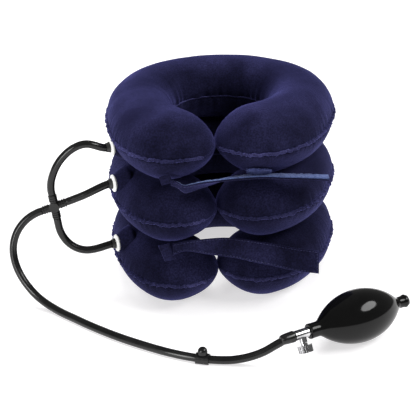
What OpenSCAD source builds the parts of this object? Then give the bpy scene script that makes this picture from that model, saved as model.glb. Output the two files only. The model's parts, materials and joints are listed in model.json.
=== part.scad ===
// Cervical traction collar: three stacked air cushions around the neck, each a C-shaped ring,
// fed through three short hoses, a four-way connector and one long hose from a squeeze bulb.
// Lengths are in millimetres. +Z is up and -Y is the front, where the rings open.

/* [Collar] */
// Outside width of a ring, side to side
ring_width = 238; // [225:1:250]
// Back of a ring, behind its widest line
ring_back = 111; // [105:1:120]
// Height that one inflated ring takes in the stack
ring_pitch = 68; // [60:1:72]
// Half of the tube's width at the back and the sides
tube_half = 35; // [32:0.5:37]
// Radius of the round lobes at the front
lobe_r = 44; // [40:0.5:45]
// Half of the tube's height before it is pressed flat
crown_half = 37; // [36.5:0.5:38]
// Clear gap between two rings
ring_gap = 0.8; // [0.6:0.1:2]
// Thickness of the velour panels
panel_wall = 1.2; // [0.8:0.1:2]

/* [Straps] */
// Width of a closing strap
strap_w = 24; // [16:1:28]
// Thickness of a strap's velour
strap_t = 1.4; // [1:0.1:2]
// Thickness of the loop pile on a strap
pile_t = 0.6; // [0.4:0.1:0.8]

/* [Air line] */
// Outside diameter of the hoses
hose_d = 8; // [6:0.5:8]
// Outside diameter of the port flanges
flange_d = 18; // [14:1:20]
// Distance from the middle of the connector to the end of each arm
arm_len = 13; // [11:0.5:14]

/* [Pump] */
// Greatest diameter of the squeeze bulb
bulb_d = 52; // [48:1:56]
// Wall of the squeeze bulb
bulb_wall = 2.4; // [2:0.1:3]
// Direction of the pump's axis in plan, in degrees
pump_yaw = 31; // [25:1:40]
// Diameter of the release knob
knob_d = 14; // [10:0.5:15]

/* [Hidden] */

// The model is built around the neck's axis, then moved so that its origin is the middle of
// the floor under the collar and the pump.
origin_shift = [-33.8, 61.5, 0];

// Plan of a ring: its centre line is part of an ellipse, from a lobe at the front round the back
side_half = ring_width / 2 - tube_half;
back_half = ring_back - tube_half;
left_lobe = [-50, -92];
right_lobe = [41, -81];
lobe_of = function (side) side < 0 ? left_lobe : right_lobe;
start_angle = function (side) asin(abs(lobe_of(side).x) / side_half);
// How much further than round a lobe's tip reaches, on the left and on the right
tip_reach = function (side) side < 0 ? 6 : 2.5;
front_half = function (side) -lobe_of(side).y / cos(start_angle(side));
// Angle from the front at which the tube has narrowed from the lobe to its even width
even_angle = 80;
side_steps = 12;
cap_angles = [80, 62, 42, 20];

// Heights of the rings' middle planes
flat_half = (ring_pitch - ring_gap) / 2;
ring_z = [flat_half, flat_half + ring_pitch, flat_half + 2 * ring_pitch];

// A tube section's corners, by their angle from the outer seam over the top
top_angles = [0, 24, 47, 68, 90, 112, 133, 156];
section_angles = concat(top_angles, [for (a = top_angles) a + 180]);

// Ports: where they stand on the left side, and how far from the ring's middle plane
port_yaw = 24;
port_base = [-72, -59.5];
port_reach = 39.6;
flange_t = 1.6;
spigot_d = 7;
spigot_len = 12;
boot_len = 4.5;
port_z = [ring_z[0] + 18, ring_z[1] + 18, ring_z[2] - 10];
port_out = [-cos(port_yaw), -sin(port_yaw), 0];

// Connector: its middle, the axis of its upright arms and the axis of its level arms
cross_at = [-169, -86, 99];
upright_axis = [-0.12, 0, 0.99];
level_axis = [0.94, 0.1, 0.32];

// Pump: the middle of the bulb, and stations along its axis from there
pump_at = [134, -186, bulb_d / 2];
hose_end_u = -74;
neck_u = -58;
spigot_end_u = -46;
knob_u = -66;
knob_tilt = 150;
body_end_u = 45;
tail_end_u = 56;

// Routes of the hoses
upper_route = [
    [-110, -76.4, 159.6], [-114.5, -78.4, 159.7], [-119.5, -80.5, 161.5], [-125, -82.4, 164.2],
    [-131, -84, 166.2], [-137.5, -85.2, 166], [-144, -86, 163.6], [-150, -86.4, 159.8],
    [-155.5, -86.6, 154.8], [-160.5, -86.6, 148.8], [-164.8, -86.5, 141.8], [-168.2, -86.3, 134],
    [-170.6, -86.1, 126], [-171.3, -86, 117.9], [-170.6, -86, 112.2]
];
middle_route = [
    [-110, -76.4, 119.6], [-113, -77.7, 119.6], [-116, -78.9, 119.2], [-119, -80, 118.4],
    [-122, -80.9, 117.3], [-125, -81.6, 116.1], [-128, -82.2, 114.8], [-131, -82.6, 113.4],
    [-134, -83, 112], [-137, -83.3, 110.7], [-140, -83.5, 109.4], [-143, -83.7, 108.2],
    [-146.5, -83.9, 106.9], [-151.5, -84.2, 105], [-156.5, -84.7, 103.3]
];
lower_route = [
    [-110, -76.4, 51.6], [-114.5, -78.4, 51.5], [-119.5, -80.2, 50.8], [-125, -81.8, 49.6],
    [-131, -83.2, 48.6], [-137, -84.4, 48.2], [-143, -85.2, 48.9], [-148.5, -85.7, 50.9],
    [-153.5, -86, 54], [-157.8, -86.1, 58], [-161.3, -86.1, 62.8], [-164, -86.1, 68.2],
    [-165.8, -86, 74], [-166.7, -86, 80.1], [-167.4, -86, 85.8]
];
main_route = [
    [-181.5, -87.3, 94.7], [-186.9, -87.9, 92.9], [-194.5, -89.5, 89], [-201.5, -91.5, 83.3],
    [-207.5, -93.8, 75.5], [-211.5, -96, 66], [-213, -98.5, 56], [-212, -101.2, 46],
    [-209, -104.3, 36.5], [-204, -108, 27.5], [-197.5, -112.2, 19.5], [-190, -117, 13],
    [-181, -123, 8.2], [-171, -130, 5.2], [-160, -139, 4], [-148, -149, 4], [-135, -160, 4],
    [-121, -171, 4], [-106, -182, 4], [-91, -192, 4], [-76, -201, 4], [-61, -209.5, 4],
    [-46, -217, 4], [-31, -223, 4], [-16, -227.5, 4], [-1, -230, 4], [13.5, -231.6, 5.2],
    [28, -232.5, 8.7], [41, -232.6, 14], [52, -231.5, 20.3], [61, -229.2, 24.8],
    [66.3, -226.7, 26], [70.3, -224.3, 26]
];
side_port_route = 24;

// Paths of the straps along the middle of their width
upper_strap_path = [
    [-46, -135, 138], [-34, -134, 138], [-18, -128, 139], [2, -120.5, 141], [22, -116.5, 142],
    [42, -113.5, 142], [62, -113, 141], [82, -111, 139.5], [108, -105, 135.5]
];
// How far the upper strap has turned from upright, in degrees, at each point of its path
upper_strap_twist = [0, 5, 22, 45, 60, 65, 65, 65, 65];
// Small clearance between a strap and its pile
pile_gap = 0.15;
lower_strap_path = [
    [-44, -140, 70], [-34, -139, 71], [-18, -136, 71.5], [2, -131, 71], [22, -130.5, 69.5],
    [42, -130, 66.5], [60, -128.5, 61.5], [80, -125.5, 55.5], [99, -121, 50.5]
];
lower_strap_twist = [for (p = lower_strap_path) -10];

// ---------- Geometry helpers ----------

function smooth(x) = let (c = min(1, max(0, x))) c * c * (3 - 2 * c);
function unit(v) = v / norm(v);

// Half of the tube's width at plan angle t on one side of the ring
function tube_w(t, side) = tube_half
    + (lobe_r - tube_half) * smooth((even_angle - t) / (even_angle - start_angle(side)));

// A station is [x, y, outward x, outward y, half width, height share]
function body_station(t, side) =
    let (f = t < 90 ? front_half(side) : back_half,
         out = unit([side * f * sin(t), -side_half * cos(t)]))
    [side * side_half * sin(t), -f * cos(t), out.x, out.y, tube_w(t, side), 1];

// Stations of the rounded end of a lobe, shrinking towards the gap
function cap_station(a, side, inset) =
    let (s = body_station(start_angle(side), side),
         r = lobe_r - inset,
         ahead = (r + tip_reach(side)) * sin(a),
         forward = side * [s[3], -s[2]])
    [s[0] + forward.x * ahead, s[1] + forward.y * ahead, s[2], s[3], inset + r * cos(a), cos(a)];

// All stations from the right lobe's tip round the back to the left lobe's tip
function stations(inset) = concat(
    [for (a = cap_angles) cap_station(a, 1, inset)],
    [for (i = [0:side_steps]) let (t0 = start_angle(1)) body_station(t0 + (180 - t0) * i / side_steps, 1)],
    [for (i = [side_steps - 1:-1:0]) let (t0 = start_angle(-1))
        body_station(t0 + (180 - t0) * i / side_steps, -1)],
    [for (i = [len(cap_angles) - 1:-1:0]) cap_station(cap_angles[i], -1, inset)]
);

// One section of the tube, oval and pressed flat above and below
function section(s, inset) = [for (a = section_angles)
    let (w = (s[4] - inset) * cos(a),
         rise = (crown_half - inset) * s[5] * sin(a),
         limit = flat_half - inset)
    [s[0] + s[2] * w, s[1] + s[3] * w, min(limit, max(-limit, rise))]];

// A closed skin through a list of rings of points, all of the same length. The second half of each
// ring is split along the other diagonal, so that the two faces of a twisted band stay parallel.
module skin(rings) {
    n = len(rings[0]);
    last = len(rings) - 1;
    faces = concat(
        [[for (j = [n - 1:-1:0]) j]],
        [for (i = [0:last - 1], j = [0:n / 2 - 1]) let (k = j + 1)
            each [[i * n + j, (i + 1) * n + k, (i + 1) * n + j], [i * n + j, i * n + k, (i + 1) * n + k]]],
        [for (i = [0:last - 1], j = [n / 2:n - 1]) let (k = (j + 1) % n)
            each [[i * n + j, i * n + k, (i + 1) * n + j], [i * n + k, (i + 1) * n + k, (i + 1) * n + j]]],
        [[for (j = [0:n - 1]) last * n + j]]
    );
    polyhedron([for (r = rings) each r], faces, convexity = 8);
}

// A solid ring, smaller all round by the inset
module ring_solid(inset) {
    skin([for (s = stations(inset)) section(s, inset)]);
}

// The values of a list, with the gaps between them filled in evenly
function filled(list, steps) = concat(
    [for (i = [0:len(list) - 2], k = [0:steps - 1]) list[i] + (list[i + 1] - list[i]) * k / steps],
    [list[len(list) - 1]]);

// A flat band along a path, upright where its twist is 0 and with its top edge out where it is 90
module band(points, twists, half_w, low, high, steps = 1) {
    path = filled(points, steps);
    twist = filled(twists, steps);
    last = len(path) - 1;
    skin([for (i = [0:last])
        let (along = unit(path[min(i + 1, last)] - path[max(i - 1, 0)]),
             side = [0, -sin(twist[i]), cos(twist[i])],
             face = unit(cross(along, side)))
        [path[i] - side * half_w + face * high, path[i] + side * half_w + face * high,
         path[i] + side * half_w + face * low, path[i] - side * half_w + face * low]]);
}

// A round hose along its route
module hose(route) {
    last = len(route) - 1;
    sides = 8;
    skin([for (i = [0:last])
        let (along = unit(route[min(i + 1, last)] - route[max(i - 1, 0)]),
             across = unit(cross(along, [0.1, 0.9, 0.3])),
             up = cross(across, along))
        [for (j = [0:sides - 1]) let (a = 360 * (j + 0.5) / sides)
            route[i] + hose_d / 2 * (across * cos(a) + up * sin(a))]]);
}

// Turns +Z to a direction and moves to a point
module aim(point, direction) {
    d = unit(direction);
    translate(point) rotate([0, acos(d.z), atan2(d.y, d.x)]) children();
}

module in_place() {
    translate(origin_shift) children();
}

module at_pump() {
    in_place() translate(pump_at) rotate([0, 0, pump_yaw]) children();
}

// A cylinder along the pump's axis between two stations
module along_u(from_u, to_u, r) {
    translate([from_u, 0, 0]) rotate([0, 90, 0]) cylinder(h = to_u - from_u, r = r, $fn = 48);
}

// The release screw's own axis, which leaves the valve to the front and down
module at_screw() {
    at_pump() translate([knob_u, 0, 0]) rotate([knob_tilt, 0, 0]) children();
}

// ---------- Cushions ----------

module panel(level, top, hole) {
    color("midnightblue") in_place() difference() {
        translate([0, 0, ring_z[level]]) difference() {
            ring_solid(0);
            ring_solid(panel_wall);
            translate([-200, -200, top ? -100 : 0]) cube([400, 400, 100]);
        }
        if (hole) port_hole(level);
    }
}

module bladder(level) {
    color("slategray") in_place() difference() {
        translate([0, 0, ring_z[level]]) ring_solid(panel_wall + 0.2);
        port_hole(level);
    }
}

// Small flat pads between two rings, at the back and on both sides
module joining_patches(level) {
    spots = [[0, back_half], [side_half - 2, 18], [2 - side_half, 18]];
    color("midnightblue") in_place()
        for (s = spots) translate([s.x, s.y, ring_z[level] + flat_half]) cylinder(h = 0.4, r = 8, $fn = 32);
}

// ---------- Ports ----------

module at_port(level) {
    aim([port_base.x, port_base.y, port_z[level]], port_out) translate([0, 0, port_reach]) children();
}

module port_hole(level) {
    at_port(level) translate([0, 0, -spigot_len - 1]) cylinder(h = spigot_len + 2, d = spigot_d + 0.2, $fn = 32);
}

module port_flange(level) {
    color("white") in_place() at_port(level) difference() {
        union() {
            cylinder(h = flange_t, d = flange_d, $fn = 48);
            translate([0, 0, -spigot_len]) cylinder(h = spigot_len, d = spigot_d, $fn = 32);
        }
        translate([0, 0, -spigot_len - 1]) cylinder(h = spigot_len + flange_t + 2, d = 4, $fn = 32);
    }
}

module port_boot(level) {
    color("dimgray") in_place() at_port(level) translate([0, 0, flange_t]) difference() {
        cylinder(h = boot_len, d1 = hose_d + 3.5, d2 = hose_d + 1.2, $fn = 48);
        translate([0, 0, -1]) cylinder(h = boot_len + 2, d = hose_d + 0.2, $fn = 48);
    }
}

// ---------- Straps ----------

module upper_strap() {
    color("midnightblue") in_place() band(upper_strap_path, upper_strap_twist, strap_w / 2, 0, strap_t, 4);
}

module upper_strap_loop() {
    color("slateblue") in_place()
        band(upper_strap_path, upper_strap_twist, strap_w / 2 - 2, -pile_t - pile_gap, -pile_gap, 4);
}

module lower_strap() {
    color("midnightblue") in_place() band(lower_strap_path, lower_strap_twist, strap_w / 2, 0, strap_t);
}

module lower_strap_loop() {
    color("slateblue") in_place()
        band(lower_strap_path, lower_strap_twist, strap_w / 2 - 2, -pile_t - pile_gap, -pile_gap);
}

// Sewn starts of the straps, on the left lobe
module upper_strap_tab() {
    color("midnightblue") in_place()
        band([[-64, -132, 138], [-47.5, -135.5, 138]], [0, 0], strap_w / 2, 0, strap_t);
}

module lower_strap_tab() {
    color("midnightblue") in_place()
        band([[-62, -141.5, 67], [-45.5, -141, 70]], [-10, -10], strap_w / 2, 0, strap_t);
}

// Hook patches on the right lobe, which the straps' pile grips
module upper_hook_patch() {
    arc = [[27, -118, 149.4], [34, -119.6, 149.4], [44, -120, 149.4], [52, -119, 149.4]];
    color("cornflowerblue") in_place() band(arc, [for (p = arc) 36], 5.5, -0.4, 0.4);
}

module lower_hook_patch() {
    arc = [for (a = [-20:8:20]) [right_lobe.x + 36.5 * sin(a), right_lobe.y - 36.5 * cos(a), 56]];
    color("cornflowerblue") in_place() band(arc, [for (p = arc) -37], 6, -0.4, 0.4);
}

// ---------- Hoses and connector ----------

module upper_branch_hose() {
    color("black") in_place() hose(upper_route);
}

module middle_branch_hose() {
    color("black") in_place() hose(middle_route);
}

module lower_branch_hose() {
    color("black") in_place() hose(lower_route);
}

module main_hose() {
    color("black") in_place() hose(main_route);
}

// Two arms on one axis, with ribs that hold the hoses
module arm_pair(axis) {
    ribs = [for (k = [0:2]) each [[3.8, 6 + 2.5 * k], [4.5, 6 + 2.5 * k], [4.5, 7.2 + 2.5 * k], [3.8, 7.2 + 2.5 * k]]];
    mirrored = [for (k = [len(ribs) - 1:-1:0]) [ribs[k].x, -ribs[k].y]];
    aim(cross_at, axis) rotate_extrude($fn = 48)
        polygon(concat([[0, -arm_len], [3.8, -arm_len]], mirrored, ribs, [[3.8, arm_len], [0, arm_len]]));
}

// Four ribbed arms on a round hub
module cross_connector() {
    color("black") in_place() difference() {
        union() {
            translate(cross_at) rotate([90, 0, 0]) cylinder(h = 9.4, d = 11, center = true, $fn = 48);
            arm_pair(upright_axis);
            arm_pair(level_axis);
        }
        for (axis = [upright_axis, level_axis])
            aim(cross_at, axis) cylinder(h = 2 * arm_len + 2, d = 3.5, center = true, $fn = 32);
    }
}

// A short capped side port, clamped round the main hose where it lies on the floor
module hose_side_port() {
    p = main_route[side_port_route];
    along = main_route[side_port_route + 1] - main_route[side_port_route - 1];
    color("black") in_place() difference() {
        aim(p, [along.x, along.y, 0]) translate([0, 0, -6.5]) cylinder(h = 13, r = hose_d / 2 + 1.6, $fn = 48);
        aim(p, [along.x, along.y, 0]) translate([0, 0, -8]) cylinder(h = 16, r = hose_d / 2 + 0.4, $fn = 48);
        translate([p.x - 20, p.y - 20, -10]) cube([40, 40, 10]);
    }
}

module hose_side_cap() {
    p = main_route[side_port_route];
    color("black") in_place() translate([p.x, p.y, hose_d + 1.7]) difference() {
        union() {
            cylinder(h = 2.2, d = 9.6, $fn = 48);
            translate([0, 0, 2.2]) sphere(d = 9.6, $fn = 48);
        }
        translate([-10, -10, -10]) cube([20, 20, 10]);
    }
}

// ---------- Squeeze bulb ----------

// Half diameter of the bulb at a station of its axis
function bulb_r(u) = bulb_d / 2 * pow(1 - pow(abs(u) / (u < 0 ? 49 : 47.5), 2.3), 0.52);

module bulb() {
    body = [for (u = [-44:4:44]) [bulb_r(u), u]];
    outer = concat([[6.8, neck_u], [7, neck_u + 1], [6.4, -47]], body, [[6, 47], [6.2, tail_end_u]]);
    hollow = [for (u = [-40:4:40]) [bulb_r(u) - bulb_wall, u]];
    inner = concat([[3.5, tail_end_u], [3.5, 43]], [for (i = [len(hollow) - 1:-1:0]) hollow[i]],
        [[4, -43], [4, neck_u]]);
    color("black") at_pump() rotate([0, 90, 0]) rotate_extrude($fn = 64) polygon(concat(outer, inner));
}

// Inlet valve in the bulb's tail
module tail_valve() {
    color("dimgray") at_pump() difference() {
        union() {
            along_u(body_end_u - 1, tail_end_u, 3.45);
            along_u(tail_end_u, tail_end_u + 1.6, 5.4);
        }
        along_u(body_end_u - 2, body_end_u, 1.5);
        along_u(body_end_u - 0.5, 53, 2.3);
        along_u(52, tail_end_u + 3, 1.2);
    }
}

module tail_valve_ball() {
    color("gainsboro") at_pump() translate([51.3, 0, 0]) sphere(r = 2, $fn = 40);
}

// ---------- Release valve ----------

module release_valve_body() {
    color("silver") difference() {
        union() {
            at_pump() along_u(hose_end_u, neck_u, 4.75);
            at_pump() along_u(neck_u - 0.5, spigot_end_u, 3.95);
            at_screw() cylinder(h = 8.4, r = 3.6, $fn = 48);
        }
        at_pump() along_u(hose_end_u - 1, -56, 1.5);
        at_pump() along_u(-56, -49, 2.3);
        at_pump() along_u(-49.5, spigot_end_u + 1, 1.3);
        at_screw() cylinder(h = 3, r = 0.8, $fn = 32);
        at_screw() translate([0, 0, 2.2]) cylinder(h = 10, r = 1.55, $fn = 48);
        at_screw() translate([0, 0, 6.3]) cylinder(h = 1.3, r = 2.55, $fn = 48);
        at_screw() translate([0, 0, 4]) rotate([0, 90, 0]) cylinder(h = 6, r = 0.5, $fn = 24);
    }
}

module outlet_ball() {
    color("gainsboro") at_pump() translate([-50.7, 0, 0]) sphere(r = 2, $fn = 40);
}

// Needle that closes the release hole
module release_needle() {
    color("silver") at_screw() rotate_extrude($fn = 48)
        polygon([[0, 2.3], [0.3, 2.3], [1.5, 4.2], [1.5, 5], [0, 5]]);
}

// Knurled knob and stem
module thumb_screw() {
    color("silver") at_screw() difference() {
        union() {
            translate([0, 0, 5.05]) cylinder(h = 5, r = 1.5, $fn = 48);
            translate([0, 0, 8.8]) cylinder(h = 2.4, r = 3.2, $fn = 48);
            translate([0, 0, 11]) cylinder(h = 7, d = knob_d, $fn = 64);
        }
        for (k = [0:17]) rotate([0, 0, 20 * k]) translate([knob_d / 2, 0, 10]) cylinder(h = 9, r = 0.55, $fn = 16);
    }
}

module screw_o_ring() {
    color("black") at_screw() translate([0, 0, 6.95])
        rotate_extrude($fn = 48) translate([2.04, 0]) circle(r = 0.5, $fn = 24);
}

panel(2, true, false);  // upper_ring_top_panel
panel(2, false, true);  // upper_ring_bottom_panel
bladder(2);  // upper_ring_bladder
panel(1, true, true);  // middle_ring_top_panel
panel(1, false, false);  // middle_ring_bottom_panel
bladder(1);  // middle_ring_bladder
panel(0, true, true);  // lower_ring_top_panel
panel(0, false, false);  // lower_ring_bottom_panel
bladder(0);  // lower_ring_bladder
port_flange(2);  // upper_port_flange
port_flange(1);  // middle_port_flange
port_flange(0);  // lower_port_flange
port_boot(2);  // upper_port_boot
port_boot(1);  // middle_port_boot
port_boot(0);  // lower_port_boot
joining_patches(1);  // upper_joining_patches
joining_patches(0);  // lower_joining_patches
upper_strap();
upper_strap_loop();
upper_strap_tab();
upper_hook_patch();
lower_strap();
lower_strap_loop();
lower_strap_tab();
lower_hook_patch();
upper_branch_hose();
middle_branch_hose();
lower_branch_hose();
main_hose();
cross_connector();
hose_side_port();
hose_side_cap();
bulb();
tail_valve();
tail_valve_ball();
release_valve_body();
outlet_ball();
release_needle();
thumb_screw();
screw_o_ring();
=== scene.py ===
"""Looks of a cervical traction collar: three stacked velour air cushions with closing straps, three
short hoses to a four-way connector, and one long hose from a squeeze bulb with a release valve.

Lengths are in metres. Points are written from the neck's axis, with -Y to the front where the
cushions open, and place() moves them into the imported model's frame.
"""

import json
import math

import bpy
import numpy as np
from mathutils import Matrix, Vector


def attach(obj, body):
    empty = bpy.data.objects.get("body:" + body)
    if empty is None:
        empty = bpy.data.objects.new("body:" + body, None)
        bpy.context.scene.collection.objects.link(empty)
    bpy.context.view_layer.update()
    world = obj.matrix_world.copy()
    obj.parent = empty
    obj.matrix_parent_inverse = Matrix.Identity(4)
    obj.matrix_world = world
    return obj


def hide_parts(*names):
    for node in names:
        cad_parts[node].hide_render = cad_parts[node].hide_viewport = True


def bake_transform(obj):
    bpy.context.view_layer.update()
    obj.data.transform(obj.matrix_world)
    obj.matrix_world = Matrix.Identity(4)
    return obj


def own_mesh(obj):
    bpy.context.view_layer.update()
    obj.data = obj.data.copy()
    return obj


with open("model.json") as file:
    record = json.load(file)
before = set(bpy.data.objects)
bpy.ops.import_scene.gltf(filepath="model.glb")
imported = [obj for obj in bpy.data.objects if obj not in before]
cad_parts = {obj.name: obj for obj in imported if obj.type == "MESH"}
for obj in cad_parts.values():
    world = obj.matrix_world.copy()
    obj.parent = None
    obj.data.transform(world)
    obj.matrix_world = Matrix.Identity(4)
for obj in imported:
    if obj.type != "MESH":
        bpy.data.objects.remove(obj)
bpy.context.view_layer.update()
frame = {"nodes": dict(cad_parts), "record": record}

SEED = 7
NECK_AXIS = np.array([-0.0338, 0.0615, 0.0])
UP = np.array([0.0, 0.0, 1.0])
RINGS = ("lower", "middle", "upper")


def place(points):
    """Points written from the neck's axis, moved into the model's frame."""
    return np.asarray(points, float) + NECK_AXIS


# ---------- Camera ----------

CAMERA_AZIMUTH = 2.0
CAMERA_ELEVATION = 25.0
CAMERA_ROLL = -1.4
CAMERA_DISTANCE = 1.4
CAMERA_LENS = 111.1
AIM_RIGHT = -0.0155
AIM_HEIGHT = 0.0556


def make_camera():
    az, el, roll = (math.radians(v) for v in (CAMERA_AZIMUTH, CAMERA_ELEVATION, CAMERA_ROLL))
    back = Vector((math.sin(az) * math.cos(el), -math.cos(az) * math.cos(el), math.sin(el)))
    level_right = Vector((math.cos(az), math.sin(az), 0))
    level_up = back.cross(level_right)
    right = level_right * math.cos(roll) + level_up * math.sin(roll)
    up = level_up * math.cos(roll) - level_right * math.sin(roll)
    at = level_right * AIM_RIGHT + Vector((0, 0, AIM_HEIGHT)) + back * CAMERA_DISTANCE
    data = bpy.data.cameras.new("camera")
    data.lens = CAMERA_LENS
    data.sensor_width = 36
    camera = bpy.data.objects.new("camera", data)
    turned = Matrix((right, up, back)).transposed().to_4x4()
    camera.matrix_world = Matrix.Translation(Vector(place(at))) @ turned
    bpy.context.scene.collection.objects.link(camera)
    bpy.context.scene.camera = camera


make_camera()

# ---------- Mesh helpers ----------


def add_mesh(name, verts, faces, smooth=True):
    mesh = bpy.data.meshes.new(name)
    mesh.from_pydata(np.asarray(verts, float).tolist(), [], faces)
    mesh.validate()
    mesh.polygons.foreach_set("use_smooth", [smooth] * len(mesh.polygons))
    mesh.update()
    obj = bpy.data.objects.new(name, mesh)
    bpy.context.scene.collection.objects.link(obj)
    return obj


def loft(name, rings, closed=False):
    """A skin through rings of points; the ends are capped, or joined where the loft is closed."""
    rings = np.asarray(rings, float)
    count, sides = rings.shape[:2]
    faces = []
    for i in range(count if closed else count - 1):
        a, b = i * sides, (i + 1) % count * sides
        for j in range(sides):
            k = (j + 1) % sides
            faces.append((a + j, a + k, b + k, b + j))
    if not closed:
        faces.append(tuple(reversed(range(sides))))
        faces.append(tuple(range((count - 1) * sides, count * sides)))
    obj = add_mesh(name, rings.reshape(-1, 3), faces)
    outward(obj)
    return obj


def outward(obj):
    """Faces turned outwards, found from the sign of the volume that they enclose."""
    mesh = obj.data
    mesh.calc_loop_triangles()
    co = np.array([v.co for v in mesh.vertices])
    tri = np.array([t.vertices for t in mesh.loop_triangles])
    a, b, c = co[tri[:, 0]], co[tri[:, 1]], co[tri[:, 2]]
    if np.einsum("ij,ij->i", a, np.cross(b, c)).sum() < 0:
        mesh.flip_normals()


def join(name, parts):
    """Several meshes made into one piece."""
    verts, faces, start = [], [], 0
    for part in parts:
        verts += [v.co[:] for v in part.data.vertices]
        faces += [tuple(start + i for i in p.vertices) for p in part.data.polygons]
        start += len(part.data.vertices)
        bpy.data.objects.remove(part, do_unlink=True)
    return add_mesh(name, verts, faces)


def unit(v):
    v = np.asarray(v, float)
    return v / np.linalg.norm(v, axis=-1, keepdims=True)


def spline(points, steps):
    """Rounds a path: a Catmull-Rom curve through its points."""
    p = np.asarray(points, float)
    p = np.vstack([2 * p[0] - p[1], p, 2 * p[-1] - p[-2]])
    t = np.arange(steps)[:, None] / steps
    out = []
    for i in range(1, len(p) - 2):
        a, b, c, d = p[i - 1 : i + 3]
        square = (2 * a - 5 * b + 4 * c - d) * t**2
        cube = (3 * b - a - 3 * c + d) * t**3
        out.append(0.5 * (2 * b + (c - a) * t + square + cube))
    return np.vstack(out + [p[-2][None]])


def tangents(path):
    return unit(np.gradient(path, axis=0))


def tube(name, path, radius, sides=24):
    """A round tube along a path, with slightly rounded ends."""
    along = tangents(path)
    side = unit(np.cross(along[0], (0.1, 0.9, 0.3)))
    rings = []
    angles = np.linspace(0, 2 * math.pi, sides, endpoint=False)
    for i, (point, way) in enumerate(zip(path, along)):
        side = unit(side - way * np.dot(side, way))
        up = np.cross(way, side)
        r = radius * (0.93 if i in (0, len(path) - 1) else 1)
        rings.append(point + r * (np.cos(angles)[:, None] * side + np.sin(angles)[:, None] * up))
    return loft(name, rings)


def wander(x, wavelengths, seed):
    """A smooth random line: a sum of waves of these lengths, between about -1 and 1."""
    rng = np.random.default_rng(seed)
    total = np.zeros_like(x, float)
    for length in wavelengths:
        drift = 0.35 * length * np.sin(2 * math.pi * x / (length * 4.3) + rng.uniform(0, 6.3))
        total += np.sin(2 * math.pi * (x + drift) / length + rng.uniform(0, 6.3)) * rng.uniform(0.7, 1)
    return total / max(1.0, math.sqrt(2 * len(wavelengths)))


# ---------- Hoses ----------

HOSE_D = 0.008
ROUTES = {
    "upper_branch_hose": [
        [-0.11, -0.0764, 0.1596], [-0.1145, -0.0784, 0.1597], [-0.1195, -0.0805, 0.1615],
        [-0.125, -0.0824, 0.1642], [-0.131, -0.084, 0.1662], [-0.1375, -0.0852, 0.166],
        [-0.144, -0.086, 0.1636], [-0.15, -0.0864, 0.1598], [-0.1555, -0.0866, 0.1548],
        [-0.1605, -0.0866, 0.1488], [-0.1648, -0.0865, 0.1418], [-0.1682, -0.0863, 0.134],
        [-0.1706, -0.0861, 0.126], [-0.1713, -0.086, 0.1179], [-0.1706, -0.086, 0.1122],
    ],
    "middle_branch_hose": [
        [-0.11, -0.0764, 0.1196], [-0.113, -0.0777, 0.1196], [-0.116, -0.0789, 0.1192],
        [-0.119, -0.08, 0.1184], [-0.122, -0.0809, 0.1173], [-0.125, -0.0816, 0.1161],
        [-0.128, -0.0822, 0.1148], [-0.131, -0.0826, 0.1134], [-0.134, -0.083, 0.112],
        [-0.137, -0.0833, 0.1107], [-0.14, -0.0835, 0.1094], [-0.143, -0.0837, 0.1082],
        [-0.1465, -0.0839, 0.1069], [-0.1515, -0.0842, 0.105], [-0.1565, -0.0847, 0.1033],
    ],
    "lower_branch_hose": [
        [-0.11, -0.0764, 0.0516], [-0.1145, -0.0784, 0.0515], [-0.1195, -0.0802, 0.0508],
        [-0.125, -0.0818, 0.0496], [-0.131, -0.0832, 0.0486], [-0.137, -0.0844, 0.0482],
        [-0.143, -0.0852, 0.0489], [-0.1485, -0.0857, 0.0509], [-0.1535, -0.086, 0.054],
        [-0.1578, -0.0861, 0.058], [-0.1613, -0.0861, 0.0628], [-0.164, -0.0861, 0.0682],
        [-0.1658, -0.086, 0.074], [-0.1667, -0.086, 0.0801], [-0.1674, -0.086, 0.0858],
    ],
    "main_hose": [
        [-0.1815, -0.0873, 0.0947], [-0.1869, -0.0879, 0.0929], [-0.1945, -0.0895, 0.089],
        [-0.2015, -0.0915, 0.0833], [-0.2075, -0.0938, 0.0755], [-0.2115, -0.096, 0.066],
        [-0.213, -0.0985, 0.056], [-0.212, -0.1012, 0.046], [-0.209, -0.1043, 0.0365],
        [-0.204, -0.108, 0.0275], [-0.1975, -0.1122, 0.0195], [-0.19, -0.117, 0.013],
        [-0.181, -0.123, 0.0082], [-0.171, -0.13, 0.0052], [-0.16, -0.139, 0.004],
        [-0.148, -0.149, 0.004], [-0.135, -0.16, 0.004], [-0.121, -0.171, 0.004],
        [-0.106, -0.182, 0.004], [-0.091, -0.192, 0.004], [-0.076, -0.201, 0.004],
        [-0.061, -0.2095, 0.004], [-0.046, -0.217, 0.004], [-0.031, -0.223, 0.004],
        [-0.016, -0.2275, 0.004], [-0.001, -0.23, 0.004], [0.0135, -0.2316, 0.0052],
        [0.028, -0.2325, 0.0087], [0.041, -0.2326, 0.014], [0.052, -0.2315, 0.0203],
        [0.061, -0.2292, 0.0248], [0.0663, -0.2267, 0.026], [0.0703, -0.2243, 0.026],
    ],
}
# For each hose: the body at its connector or pump end, then its port. Only a hose with no port body is
# attached, to the first
HOSE_BODIES = {
    "upper_branch_hose": ("lower_ring", "upper_ring"),
    "middle_branch_hose": ("lower_ring", "middle_ring"),
    "lower_branch_hose": ("lower_ring", None),
    "main_hose": ("air_line", "lower_ring"),
}


hoses = {}
for node, route in ROUTES.items():
    path = spline(place(route), 6)
    hose = tube(f"{node}_tube", path, HOSE_D / 2)
    near, far = HOSE_BODIES[node]
    if node == "main_hose":
        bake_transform(hose)
    else:
        if far:
            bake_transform(hose)
        else:
            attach(hose, near)
    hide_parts(node)
    hoses[node] = hose

# ---------- Materials ----------


def new_material(name):
    material = bpy.data.materials.new(name)
    material.use_nodes = True
    return material, material.node_tree.nodes, material.node_tree.links


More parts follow.
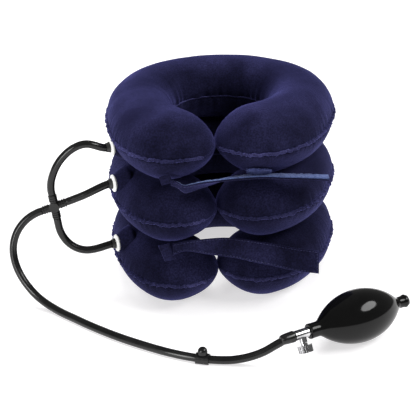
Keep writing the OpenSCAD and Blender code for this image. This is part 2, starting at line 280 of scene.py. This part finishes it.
def noise(nodes, links, scale, detail=3.0, stretch=None):
    """Noise in the object's own space, with about `scale` features to the metre."""
    texture = nodes.new("ShaderNodeTexNoise")
    texture.inputs["Scale"].default_value = scale
    texture.inputs["Detail"].default_value = detail
    place_in = nodes.new("ShaderNodeTexCoord").outputs["Object"]
    if stretch:
        mapping = nodes.new("ShaderNodeMapping")
        mapping.inputs["Scale"].default_value = stretch
        links.new(place_in, mapping.inputs["Vector"])
        place_in = mapping.outputs["Vector"]
    links.new(place_in, texture.inputs["Vector"])
    return texture.outputs["Fac"]


def ramp(nodes, links, value, stops):
    """A colour ramp: stops are (place, colour)."""
    found = nodes.new("ShaderNodeValToRGB")
    elements = found.color_ramp.elements
    while len(elements) < len(stops):
        elements.new(0.5)
    for element, (at, colour) in zip(elements, stops):
        element.position = at
        element.color = (*colour, 1)
    links.new(value, found.inputs["Fac"])
    return found.outputs["Color"]


def mixed(nodes, links, share, first, second, mode="MIX"):
    mix = nodes.new("ShaderNodeMix")
    mix.data_type = "RGBA"
    mix.blend_type = mode
    if isinstance(share, float):
        mix.inputs["Factor"].default_value = share
    else:
        links.new(share, mix.inputs["Factor"])
    links.new(first, mix.inputs["A"])
    links.new(second, mix.inputs["B"])
    return mix.outputs["Result"]


def bump(nodes, links, shader, height, strength, distance):
    node = nodes.new("ShaderNodeBump")
    node.inputs["Strength"].default_value = strength
    node.inputs["Distance"].default_value = distance
    links.new(height, node.inputs["Height"])
    links.new(node.outputs["Normal"], shader.inputs["Normal"])


def velour(name, deep, light, sheen=0.42, tint=(0.19, 0.19, 0.62)):
    """Short-pile velour: patches where the nap lies differently, a fine speckle and a soft sheen."""
    material, nodes, links = new_material(name)
    shader = nodes["Principled BSDF"]
    patches = ramp(nodes, links, noise(nodes, links, 26, 4), [(0.36, deep), (0.66, light)])
    speckle = ramp(nodes, links, noise(nodes, links, 620, 5), [(0.38, (0.55,) * 3), (0.66, (1.25,) * 3)])
    colour = mixed(nodes, links, 1.0, patches, speckle, "MULTIPLY")
    links.new(colour, shader.inputs["Base Color"])
    shader.inputs["Roughness"].default_value = 0.92
    shader.inputs["Specular IOR Level"].default_value = 0.05
    shader.inputs["Sheen Weight"].default_value = sheen
    shader.inputs["Sheen Roughness"].default_value = 0.38
    shader.inputs["Sheen Tint"].default_value = (*tint, 1)
    bump(nodes, links, shader, noise(nodes, links, 1500, 4), 0.5, 0.0006)
    return material


def smooth_material(name, dark, light, rough, grain=300, relief=0.0, metallic=0.0, gloss=0.5, spread=0.06):
    """Moulded plastic, rubber or metal, with slight changes of tone and polish over the surface."""
    material, nodes, links = new_material(name)
    shader = nodes["Principled BSDF"]
    tone = noise(nodes, links, 45, 4)
    links.new(ramp(nodes, links, tone, [(0.35, dark), (0.65, light)]), shader.inputs["Base Color"])
    polish = nodes.new("ShaderNodeMapRange")
    polish.inputs["To Min"].default_value = max(0.02, rough - spread)
    polish.inputs["To Max"].default_value = rough + spread
    links.new(noise(nodes, links, 90, 5), polish.inputs["Value"])
    links.new(polish.outputs["Result"], shader.inputs["Roughness"])
    shader.inputs["Metallic"].default_value = metallic
    shader.inputs["Specular IOR Level"].default_value = gloss
    if relief:
        bump(nodes, links, shader, noise(nodes, links, grain, 3), 0.4, relief)
    return material


MATERIALS = {
    "velour": velour("velour", (0.0050, 0.0050, 0.0170), (0.0140, 0.0139, 0.0440)),
    # velour_edge is the same velour made lighter and with more sheen: painted highlight on the raised seam
    # welts and on the joining pads
    "velour_edge": velour("velour_edge", (0.0130, 0.0130, 0.0400), (0.0420, 0.0410, 0.1150), sheen=0.7),
    "loop_pile": velour(
        "loop_pile", (0.045, 0.065, 0.17), (0.17, 0.23, 0.46), sheen=0.4, tint=(0.5, 0.55, 0.9)
    ),
    "hook_tape": velour(
        "hook_tape", (0.018, 0.022, 0.075), (0.075, 0.092, 0.24), sheen=0.4, tint=(0.4, 0.45, 0.9)
    ),
    "thread": velour("thread", (0.022, 0.022, 0.060), (0.055, 0.055, 0.13), sheen=0.3),
    "hose_rubber": smooth_material(
        "hose_rubber", (0.004,) * 3, (0.009,) * 3, 0.20, relief=0.00003, gloss=0.35
    ),
    "black_plastic": smooth_material(
        "black_plastic", (0.005,) * 3, (0.011,) * 3, 0.24, relief=0.00003, gloss=0.35
    ),
    "bulb_rubber": smooth_material("bulb_rubber", (0.002,) * 3, (0.003,) * 3, 0.10, gloss=0.22, spread=0.02),
    "white_plastic": smooth_material(
        "white_plastic", (0.74, 0.74, 0.72), (0.86, 0.86, 0.85), 0.35, relief=0.00003
    ),
    "grey_rubber": smooth_material("grey_rubber", (0.012,) * 3, (0.03,) * 3, 0.42, relief=0.00004),
    "chrome": smooth_material(
        "chrome", (0.36, 0.36, 0.37), (0.58, 0.58, 0.59), 0.08, metallic=1.0, spread=0.04
    ),
    "steel": smooth_material("steel", (0.45, 0.46, 0.48), (0.6, 0.6, 0.62), 0.25, metallic=1.0),
    "seal_rubber": smooth_material("seal_rubber", (0.012,) * 3, (0.02,) * 3, 0.6, relief=0.00003),
    "bladder_rubber": smooth_material(
        "bladder_rubber", (0.2, 0.2, 0.23), (0.26, 0.26, 0.29), 0.5, relief=0.00003
    ),
}


def paint(obj, material):
    obj.data.materials.clear()
    obj.data.materials.append(MATERIALS[material])


for hose in hoses.values():
    paint(hose, "hose_rubber")

# ---------- Cushions ----------

RING_WIDTH, RING_BACK = 0.238, 0.111
TUBE_HALF, LOBE_R = 0.035, 0.044
FLAT_HALF, PITCH = 0.0336, 0.068
SIDE_HALF, BACK_HALF = RING_WIDTH / 2 - TUBE_HALF, RING_BACK - TUBE_HALF
LOBES = {-1: (-0.050, -0.092), 1: (0.041, -0.081)}
TIP_REACH = {-1: 0.006, 1: 0.0025}
EVEN_ANGLE = math.radians(80)
RING_Z = {ring: FLAT_HALF + PITCH * i for i, ring in enumerate(RINGS)}
PORT_Z = {"lower": 0.0516, "middle": 0.1196, "upper": 0.1596}
ALONG, ROUND = 560, 76


def smooth(x):
    c = np.clip(x, 0, 1)
    return c * c * (3 - 2 * c)


def ring_stations(count):
    """The tube's middle line from the right lobe's tip round the back to the left lobe's tip.
    Each row is x, y, outward x, outward y, half width, height share."""
    rows = []
    for side in (1, -1):
        lobe = LOBES[side]
        start = math.asin(abs(lobe[0]) / SIDE_HALF)
        front = -lobe[1] / math.cos(start)
        t = np.linspace(start, math.pi, 900)
        reach = np.where(t < math.pi / 2, front, BACK_HALF)
        out = unit(np.stack([side * reach * np.sin(t), -SIDE_HALF * np.cos(t)], 1))
        width = TUBE_HALF + (LOBE_R - TUBE_HALF) * smooth((EVEN_ANGLE - t) / (EVEN_ANGLE - start))
        across = side * SIDE_HALF * np.sin(t)
        body = np.column_stack([across, -reach * np.cos(t), out, width, np.ones_like(t)])
        x, y, ox, oy = body[0, :4]
        a = np.radians(np.linspace(88.6, 0.4, 160))[:, None]
        forward = side * np.array([oy, -ox])
        tip = np.hstack([
            np.array([x, y]) + forward * (LOBE_R + TIP_REACH[side]) * np.sin(a),
            np.repeat([[ox, oy]], len(a), 0), LOBE_R * np.cos(a), np.cos(a) ** 1.4,
        ])
        half = np.vstack([tip, body])
        rows.append(half if side == 1 else half[::-1][1:])
    rows = np.vstack(rows)
    outer = rows[:, :2] + rows[:, 2:4] * rows[:, 4:5]
    inner = rows[:, :2] - rows[:, 2:4] * rows[:, 4:5]
    step = lambda edge: np.linalg.norm(np.diff(edge, axis=0), axis=1)
    travel = np.concatenate([[0], np.cumsum(0.7 * step(outer) + 0.3 * step(inner))])
    at = np.linspace(0, travel[-1], count)
    return np.column_stack([np.interp(at, travel, rows[:, i]) for i in range(6)])


STATIONS = ring_stations(ALONG)
OUTER = STATIONS[:, :2] + STATIONS[:, 2:4] * STATIONS[:, 4:5]
INNER = STATIONS[:, :2] - STATIONS[:, 2:4] * STATIONS[:, 4:5]


def run(edge):
    return np.concatenate([[0], np.cumsum(np.linalg.norm(np.diff(edge, axis=0), axis=1))])


def cushion(ring, seed):
    """One inflated ring: two crowned panels, drawn in and puckered along the seams that join them."""
    u = np.linspace(0, 2 * math.pi, ROUND, endpoint=False)
    a = u - 0.27 * np.sin(2 * u)
    cos_a, sin_a = np.cos(a), np.sin(a)
    w, share = STATIONS[:, 4:5], STATIONS[:, 5:6]
    lobe = np.where(share < 1, 1, smooth((w - TUBE_HALF) / (LOBE_R - TUBE_HALF)))
    across = np.sign(cos_a) * np.abs(cos_a) ** (0.93 - 0.10 * lobe)
    rise = np.sign(sin_a) * np.abs(sin_a) ** (1.02 + 0.30 * lobe)
    to_outer = np.minimum(a, 2 * math.pi - a)[None] * np.maximum(w, 0.012)
    to_inner = np.abs(a - math.pi)[None] * np.maximum(w, 0.012)
    top = (sin_a >= 0)[None]
    outer_run, inner_run = run(OUTER)[:, None], run(INNER)[:, None]

    def both(line_top, line_bottom):
        return np.where(top, line_top, line_bottom)

    puckers = both(
        wander(outer_run, (0.0052, 0.0083, 0.013), seed),
        wander(outer_run, (0.0058, 0.009, 0.015), seed + 1),
    )
    swells = both(wander(outer_run, (0.04, 0.065), seed + 2), wander(outer_run, (0.046, 0.07), seed + 3))
    gathers = both(
        wander(inner_run, (0.010, 0.017, 0.028), seed + 4),
        wander(inner_run, (0.011, 0.019), seed + 5),
    )
    push = (
        0.0013 * puckers * np.exp(-to_outer / 0.0075)
        - 0.0022 * np.exp(-((to_outer / 0.0038) ** 2))
        + 0.0006 * swells * np.exp(-to_outer / 0.03)
        + 0.0011 * gathers * np.exp(-to_inner / 0.017)
        - 0.0012 * np.exp(-((to_inner / 0.0035) ** 2))
    ) * smooth(w / 0.02)
    lean = 0.0007 * wander(outer_run, (0.09, 0.15), seed + 6)
    plan = w * across + push * cos_a[None] + lean * np.abs(sin_a[None]) * smooth(w / 0.02)
    height = FLAT_HALF * share * rise + push * sin_a[None] * 0.6
    height = np.clip(height, -FLAT_HALF, FLAT_HALF)
    rings = np.stack([
        STATIONS[:, 0:1] + STATIONS[:, 2:3] * plan,
        STATIONS[:, 1:2] + STATIONS[:, 3:4] * plan,
        RING_Z[ring] + height,
    ], 2)
    return loft(f"{ring}_cushion", place(rings))


def outline():
    """The seam's plan: the outer edge from tip to tip and back along the inner edge."""
    line = np.vstack([OUTER, INNER[::-1]])
    inner_share = np.concatenate([np.zeros(len(OUTER)), np.ones(len(INNER))])
    travel = run(line)
    at = np.arange(0, travel[-1], 0.0013)
    return (np.column_stack([np.interp(at, travel, line[:, i]) for i in range(2)]),
            np.interp(at, travel, inner_share), at)


def seam_welt(ring, seed):
    """The raised, ruffled edge where the two panels are welded, thin round the inside of the neck."""
    line, inner_share, at = outline()
    ahead, behind = np.roll(line, -3, 0), np.roll(line, 3, 0)
    along = unit(ahead - behind)
    out = np.column_stack([along[:, 1], -along[:, 0]])
    middle = STATIONS[len(STATIONS) // 2]
    back_out = out[np.argmin(np.linalg.norm(line - OUTER[len(OUTER) // 2], axis=1))]
    if np.dot(back_out, middle[2:4]) < 0:
        out = -out
    size = 1 - 0.62 * smooth(inner_share)
    ruffle = wander(at, (0.0048, 0.0071, 0.012), seed + 20)
    wobble = wander(at, (0.0062, 0.0105, 0.03), seed + 21)
    reach = size * (0.0026 + 0.0010 * ruffle)
    thick = size * (0.00165 + 0.0004 * wander(at, (0.0055, 0.009), seed + 22))
    offset = size * 0.0013 * wobble
    angles = np.linspace(0, 2 * math.pi, 10, endpoint=False)
    rings = []
    for i in range(len(line)):
        outward_by = -0.0008 + reach[i] * np.cos(angles)
        points = line[i] + out[i] * outward_by[:, None]
        z = RING_Z[ring] + offset[i] * (0.6 + 0.5 * np.cos(angles)) + thick[i] * np.sin(angles)
        rings.append(np.column_stack([points, z]))
    return loft(f"{ring}_seam", place(rings), closed=True)


def soft(piece, ring, body=None):
    """Rides on its ring, or on the given body, with a mesh of its own."""
    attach(piece, body or f"{ring}_ring")
    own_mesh(piece)


for number, ring in enumerate(RINGS):
    seed = SEED + 40 * number
    piece = cushion(ring, seed)
    paint(piece, "velour")
    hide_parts(f"{ring}_ring_top_panel", f"{ring}_ring_bottom_panel", f"{ring}_ring_bladder")
    soft(piece, ring)
    welt = seam_welt(ring, seed)
    # The welt takes the lighter velour copy: painted highlight along the raised seam
    paint(welt, "velour_edge")
    soft(welt, ring)

# Pads between the rings, where they are joined at the back and on both sides
PATCH_SPOTS = ((0, BACK_HALF), (SIDE_HALF - 0.002, 0.018), (0.002 - SIDE_HALF, 0.018))
PATCH_PROFILE = (
    (0.0002, 0), (0.0074, 0), (0.008, 0.00012), (0.008, 0.00028), (0.0074, 0.0004), (0.0002, 0.0004)
)


def lathe(name, profile, sides, origin, axis, across):
    """A turned solid: the profile's rows are (radius, distance along the axis)."""
    origin, axis, across = np.asarray(origin, float), unit(axis), unit(across)
    other = np.cross(axis, across)
    angles = np.linspace(0, 2 * math.pi, sides, endpoint=False)
    ring = np.cos(angles)[:, None] * across + np.sin(angles)[:, None] * other
    return loft(name, [origin + axis * along + ring * radius for radius, along in profile])


for ring in ("lower", "middle"):
    node = "lower_joining_patches" if ring == "lower" else "upper_joining_patches"
    pads = [
        lathe("pad", PATCH_PROFILE, 32, place((x, y, RING_Z[ring] + FLAT_HALF)), UP, (1, 0, 0))
        for x, y in PATCH_SPOTS
    ]
    patches = join(f"{ring}_joining_pads", pads)
    # The pads take the lighter velour copy too: painted highlight
    paint(patches, "velour_edge")
    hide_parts(node)
    soft(patches, ring)

# ---------- Straps ----------

STRAP_T, PILE_T, PILE_GAP = 0.0014, 0.0006, 0.00015
# Each strap: points along its middle, how far it leans from upright, and half of its width there
UPPER_STRAP = (
    [(-0.0462, -0.136, 0.1465), (-0.040, -0.1355, 0.144),
     (-0.0335, -0.1335, 0.1385), (-0.026, -0.130, 0.1385),
     (-0.018, -0.127, 0.1395), (-0.007, -0.1235, 0.1405), (0.003, -0.1205, 0.1415), (0.022, -0.1165, 0.1425),
     (0.042, -0.1135, 0.1425), (0.062, -0.113, 0.1417), (0.082, -0.111, 0.1402), (0.108, -0.105, 0.1362)],
    (10, 15, 25, 42, 52, 60, 67, 72, 73, 74, 75, 76),
    (0.0035, 0.0040, 0.0055, 0.0075, 0.0095, 0.0110, 0.0120, 0.0120, 0.0120, 0.0120, 0.0120, 0.0120),
)
LOWER_STRAP = (
    [(-0.0462, -0.1412, 0.0768), (-0.040, -0.1408, 0.0785),
     (-0.033, -0.1395, 0.0795), (-0.025, -0.138, 0.0787),
     (-0.0105, -0.1345, 0.0762), (0.005, -0.1318, 0.0742), (0.021, -0.1305, 0.0712), (0.036, -0.130, 0.0676),
     (0.052, -0.129, 0.0638), (0.066, -0.128, 0.0598), (0.080, -0.1258, 0.0558), (0.0985, -0.121, 0.0507)],
    (-10,) * 12,
    (0.0062, 0.0052, 0.0052, 0.0062, 0.0084, 0.0098, 0.0106, 0.0112, 0.0115, 0.0118, 0.0120, 0.0120),
)


def strap_frames(points, twists, steps):
    """Middle line, sideways direction and face direction of a strap, rounded along its path."""
    path = spline(place(points), steps)
    twist = np.radians(spline(np.column_stack([twists] * 3), steps)[:, 0])
    side = np.column_stack([np.zeros_like(twist), -np.sin(twist), np.cos(twist)])
    return path, side, unit(np.cross(tangents(path), side))


def band(name, points, twists, half_w, low, high, steps=10, fuzz=0.0, seed=0, columns=11, crumple=0.0):
    """A flat strap with rounded edges; fuzz raises a rough pile on its low face."""
    path, side, face = strap_frames(points, twists, steps)
    halves = spline(np.column_stack([np.broadcast_to(half_w, len(points))] * 3), steps)[:, 0]
    x = np.linspace(-1, 1, columns)
    rng = np.random.default_rng(seed)
    edge, mid = 0.5 * (high - low), 0.5 * (low + high)
    wave = crumple * wander(run(path), (0.021, 0.034, 0.055), seed + 9)
    rings = []
    for i, half in enumerate(halves):
        end = 0.6 if i in (0, len(path) - 1) else 1
        inset = half - edge * 0.8
        bend = wave[i] * (1 - x**2)
        top = [(c * inset, mid + b + edge * end) for c, b in zip(x, bend)]
        bottom = [
            (c * inset, mid + b - edge * end - fuzz * rng.uniform(0, 1))
            for c, b in zip(x[::-1], bend[::-1])
        ]
        profile = top + [(half, mid)] + bottom + [(-half, mid)]
        rings.append([path[i] + side[i] * c + face[i] * h for c, h in profile])
    return loft(name, rings)


def stitches(name, points, twists, half_w, share, height, steps=10):
    """A row of raised stitches along a strap, near one of its edges and on its face."""
    path, side, face = strap_frames(points, twists, steps)
    halves = spline(np.column_stack([np.broadcast_to(half_w, len(points))] * 3), steps)[:, :1]
    offset = share * (halves - 0.0016)
    return stitch_line(name, path + side * offset + face * height, face)


def end_stitches(name, points, twists, half_w, inset, height, steps=10):
    """A row of stitches across a strap's free end."""
    path, side, face = strap_frames(points, twists, steps)
    across = np.linspace(-1, 1, 9)[:, None] * (half_w - 0.0018)
    at = path[-1] - unit(path[-1] - path[-2]) * inset
    return stitch_line(name, at + side[-1] * across + face[-1] * height, face)


def stitch_line(name, line, face, pitch=0.0032, length=0.0021, radius=0.00028):
    travel = run(line)
    parts = []
    for start in np.arange(pitch * 0.4, travel[-1] - length, pitch):
        at = start + np.linspace(0, length, 5)
        points = np.column_stack([np.interp(at, travel, line[:, i]) for i in range(3)])
        points += np.sin(np.linspace(0, math.pi, 5))[:, None] * face[len(face) // 2] * 0.00012
        parts.append(tube("stitch", points, radius, 6))
    return join(name, parts)


def strap(ring, points, twists, halves, seed):
    """A closing strap with its hem stitches, and the loop pile on the side that meets the hooks."""
    body = f"{ring}_strap"
    cloth = band(f"{ring}_strap_cloth", points, twists, halves, 0, STRAP_T, seed=seed, crumple=0.0006)
    paint(cloth, "velour")
    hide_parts(body)
    pile = band(f"{ring}_strap_pile", points, twists, np.array(halves) - 0.0012,
                -PILE_T - PILE_GAP, -PILE_GAP,
                steps=16, fuzz=0.0011, seed=seed, columns=25, crumple=0.0006)
    paint(pile, "loop_pile")
    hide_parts(f"{ring}_strap_loop")
    rows = [stitches("hem", points, twists, halves, share, STRAP_T) for share in (-1, 1)]
    hem = join(f"{ring}_strap_hem", rows + [end_stitches("end", points, twists, halves[-1], 0.002, STRAP_T)])
    paint(hem, "thread")
    for piece in (cloth, pile, hem):
        soft(piece, ring, body)


def tab(ring, points, seed):
    """The sewn start of a strap on the left lobe: a folded end, stitched down both sides."""
    path = spline(place(points), 12)
    side = np.broadcast_to((0.96, 0.02, 0.26), path.shape)
    face = unit(np.cross(side, tangents(path)))
    x = np.linspace(-1, 1, 9)
    half, thick = 0.0056, 0.0014
    folds = 0.0005 * wander(run(path), (0.011, 0.017), seed)
    rings = []
    for i, point in enumerate(path):
        end = 0.6 if i in (0, len(path) - 1) else 1
        top = [(c * half * 0.93, thick * end + folds[i]) for c in x]
        bottom = [(c * half * 0.93, 0) for c in x[::-1]]
        profile = top + [(half, thick / 2)] + bottom + [(-half, thick / 2)]
        rings.append([point + side[i] * c + face[i] * h for c, h in profile])
    piece = loft(f"{ring}_tab", rings)
    paint(piece, "velour")
    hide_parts(f"{ring}_strap_tab")
    inset, lift = half - 0.0016, thick + 0.0002
    rows = [stitch_line("row", path + side * c * inset + face * lift, face) for c in (-1, 1)]
    rows = join(f"{ring}_tab_stitches", rows)
    paint(rows, "thread")
    soft(piece, ring)
    soft(rows, ring)


strap("upper", *UPPER_STRAP, SEED + 300)
strap("lower", *LOWER_STRAP, SEED + 301)
tab("upper", [(-0.0525, -0.1350, 0.1530), (-0.0510, -0.1362, 0.1495), (-0.0495, -0.1366, 0.1450)], SEED + 302)
tab("lower", [(-0.0552, -0.1405, 0.0815), (-0.0520, -0.1420, 0.0735), (-0.0490, -0.1432, 0.0655)], SEED + 303)

upper_hook_row = [
    (0.027, -0.118, 0.1494), (0.034, -0.1196, 0.1494), (0.044, -0.120, 0.1494), (0.052, -0.119, 0.1494)
]
lower_hook_row = [
    (LOBES[1][0] + 0.0365 * math.sin(a), LOBES[1][1] - 0.0365 * math.cos(a), 0.056)
    for a in np.radians(np.arange(-20, 21, 8))
]
for ring, row, lean, halves, seed in (
    ("upper", upper_hook_row, 36, (0.0030, 0.0055, 0.0052, 0.0022), 304),
    ("lower", lower_hook_row, -37, 0.006, 305),
):
    hooks = band(f"{ring}_hooks", row, (lean,) * len(row), halves, -0.0004, 0.0004,
                 steps=14, fuzz=0.0012, seed=SEED + seed, columns=17, crumple=0.0012)
    paint(hooks, "hook_tape")
    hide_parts(f"{ring}_hook_patch")
    soft(hooks, ring)

# ---------- Squeeze bulb ----------

PUMP_AT = (0.134, -0.186, 0.026)
PUMP_AXIS = (math.cos(math.radians(31)), math.sin(math.radians(31)), 0)
BULB_R = 0.026


def bulb_r(u):
    """The body alone, which closes to nothing at each end. The neck and tail take over before that."""
    end = 0.049 if u < 0 else 0.0475
    return BULB_R * max(0.0, 1 - (u / end) ** 2) ** 0.75


def bulb_profile():
    """Radius and station along the bulb, from its neck over the lemon-shaped body to the tail's lip."""
    neck, tail = 0.0073, 0.0058
    rows = [(0.0042, -0.0580), (0.0068, -0.0580), (0.0073, -0.0577), (0.0075, -0.0572), (0.0074, -0.0550)]
    for u in np.linspace(-0.0530, 0.0500, 84):
        rest = neck if u < 0 else tail
        rows.append(((bulb_r(u) ** 4 + rest**4) ** 0.25, u))
    rows += [(0.0059, 0.0520), (0.0064, 0.0535), (0.0066, 0.0548)]
    rows += [(0.0064, 0.0557), (0.0059, 0.0560), (0.0036, 0.0560)]
    return rows


bulb = lathe("squeeze_bulb", bulb_profile(), 96, place(PUMP_AT), PUMP_AXIS, UP)
paint(bulb, "bulb_rubber")
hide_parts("bulb")
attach(bulb, "air_line")

# The end of the main hose, stretched over the valve's barb
SLEEVE = (
    (0.0036, -0.0005), (0.0050, -0.0005), (0.0055, -0.0010), (0.0056, -0.0022), (0.0054, -0.0060),
    (0.0052, -0.0100), (0.0049, -0.0125), (0.0044, -0.0142), (0.0036, -0.0150),
)
HOSE_END_U = -0.0740
sleeve_at = place(PUMP_AT) + HOSE_END_U * np.array(PUMP_AXIS)
sleeve = lathe("main_hose_sleeve", SLEEVE, 40, sleeve_at, PUMP_AXIS, UP)
paint(sleeve, "hose_rubber")
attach(sleeve, "air_line")

# ---------- Ports ----------

PORT_BASE, PORT_REACH, PORT_YAW = (-0.072, -0.0595), 0.0396, math.radians(24)
PORT_OUT = np.array((-math.cos(PORT_YAW), -math.sin(PORT_YAW), 0))
# A moulded disc whose back is sunk into the velour, with a low step round the hose boot
DISC = (
    (0.0020, -0.0060), (0.0040, -0.0058), (0.0055, -0.0040), (0.0080, -0.0008), (0.0089, -0.0002),
    (0.0090, 0.0007), (0.0086, 0.0013), (0.0075, 0.0016), (0.0064, 0.0016), (0.0061, 0.0018),
    (0.0060, 0.0022), (0.0056, 0.0024), (0.0020, 0.0024),
)
# The velour drawn up behind the disc, where the port passes through the cushion
SWELL = (
    (0.0165, -0.0150), (0.0152, -0.0118), (0.0136, -0.0082), (0.0118, -0.0050), (0.0098, -0.0024),
    (0.0083, -0.0012), (0.0060, -0.0010), (0.0030, -0.0010),
)
for ring in RINGS:
    at = place((*PORT_BASE, PORT_Z[ring])) + PORT_OUT * PORT_REACH
    disc = lathe(f"{ring}_port_disc", DISC, 56, at, PORT_OUT, UP)
    swell = lathe(f"{ring}_port_swell", SWELL, 56, at, PORT_OUT, UP)
    paint(swell, "velour")
    soft(swell, ring)
    paint(disc, "white_plastic")
    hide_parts(f"{ring}_port_flange")
    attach(disc, f"{ring}_ring")

# ---------- Small CAD parts that keep their shape ----------

slots = {sub["node"]: sub["material_slot"] for sub in frame["record"]["subparts"]}
for node, obj in frame["nodes"].items():
    if not obj.hide_render:
        paint(obj, slots[node])

# ---------- Floor and light ----------


def make_floor():
    """A white sweep. Its own faint light keeps the shadows as pale as in a studio."""
    floor = add_mesh("floor", [(-6, -6, 0), (6, -6, 0), (6, 6, 0), (-6, 6, 0)], [(0, 1, 2, 3)])
    material, nodes = new_material("floor")[:2]
    shader = nodes["Principled BSDF"]
    shader.inputs["Base Color"].default_value = (0.6, 0.6, 0.6, 1)
    shader.inputs["Emission Color"].default_value = (1, 0.985, 0.995, 1)
    shader.inputs["Emission Strength"].default_value = 0.6
    shader.inputs["Roughness"].default_value = 0.7
    shader.inputs["Specular IOR Level"].default_value = 0.2
    floor.data.materials.append(material)


def area_light(name, at, aim_at, size, power, mirrored=True):
    """A softbox. One that isn't mirrored lights the object without showing in its gloss."""
    data = bpy.data.lights.new(name, "AREA")
    data.shape = "ELLIPSE"
    data.size, data.size_y = size
    data.energy = power
    light = bpy.data.objects.new(name, data)
    light.location = place(at)
    way = Vector(place(aim_at)) - light.location
    light.rotation_euler = way.to_track_quat("-Z", "Y").to_euler()
    light.visible_glossy = mirrored
    bpy.context.scene.collection.objects.link(light)


make_floor()
area_light("right", (1.00, -0.35, 1.05), (0.13, -0.18, 0.03), (0.95, 0.60), 15)
area_light("left", (-0.75, -1.00, 0.35), (0.0, -0.15, 0.05), (0.35, 0.70), 7)
area_light("top", (0.0, 0.4, 1.6), (0, 0, 0.1), (1.5, 1.1), 25, mirrored=False)
area_light("rim_left", (-0.9, 0.35, 0.9), (0, 0, 0.15), (0.6, 0.6), 7, mirrored=False)
world = bpy.data.worlds.new("studio")
world.use_nodes = True
world.node_tree.nodes["Background"].inputs["Color"].default_value = (1, 1, 1, 1)
world.node_tree.nodes["Background"].inputs["Strength"].default_value = 0.22
bpy.context.scene.world = world
bpy.context.scene.view_settings.view_transform = "Standard"
